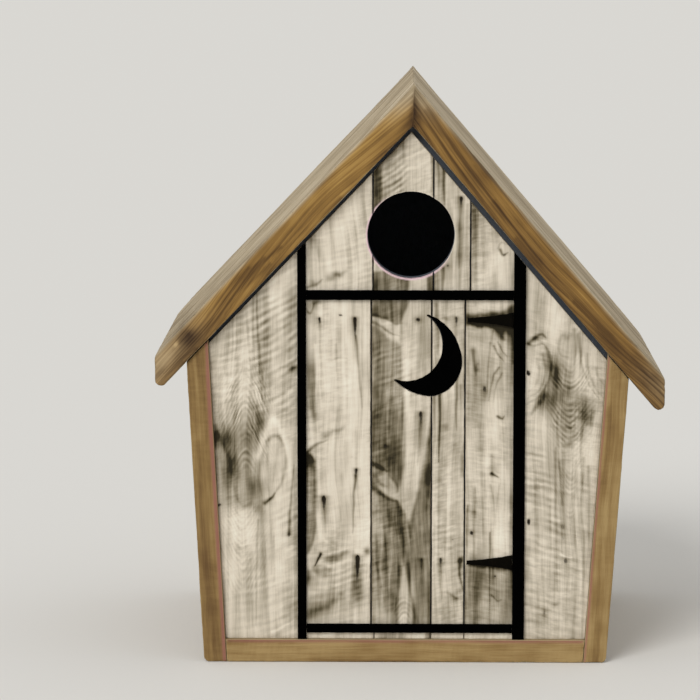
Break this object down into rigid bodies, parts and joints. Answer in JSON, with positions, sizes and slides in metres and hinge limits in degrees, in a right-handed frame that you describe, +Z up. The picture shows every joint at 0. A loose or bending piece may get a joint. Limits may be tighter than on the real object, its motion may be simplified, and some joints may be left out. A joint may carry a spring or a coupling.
{
  "type": "wooden outhouse nest box",
  "caption": "Small outhouse-shaped wooden nest box with leaning walls, a steep mitred roof, weathered boards, a fixed door with a crescent, and a round entry hole.",
  "frame": {"origin": "on the ground under the middle of the eaves, halfway along the depth", "axes": "+Z up, the front with the door faces -Y, +X to the right seen from the front"},
  "size_m": [0.2244, 0.164, 0.2568],
  "materials": {
    "cedar": "bare golden brown cedar, lightly weathered",
    "roof_cedar": "grey weathered top, golden brown sawn edges",
    "barn_board": "pale grey weathered boards with checks and knots",
    "backing": "dark stained backing board",
    "black_paint": "flat black paint on wood",
    "dark_iron": "dark rusted iron"
  },
  "bodies": {
    "root": {"floor_board": "cedar", "side_wall_left": "cedar", "side_wall_right": "cedar", "roof_board_left": "roof_cedar", "roof_board_right": "roof_cedar", "front_panel": "backing", "back_panel": "backing", "front_board_left": "barn_board", "front_board_right": "barn_board", "door_board_1": "barn_board", "door_board_2": "barn_board", "door_board_3": "barn_board", "door_board_4": "barn_board", "gable_board_1": "barn_board", "gable_board_2": "barn_board", "gable_board_3": "barn_board", "gable_board_4": "barn_board", "kick_boards": "barn_board", "back_board_1": "barn_board", "back_board_2": "barn_board", "back_board_3": "barn_board", "back_board_4": "barn_board", "back_board_5": "barn_board", "jamb_strip_left": "black_paint", "jamb_strip_right": "black_paint", "head_strip": "black_paint", "sill_strip": "black_paint", "moon_inlay": "black_paint", "hinge_strap_upper": "dark_iron", "hinge_strap_lower": "dark_iron"}
  },
  "joints": []
}
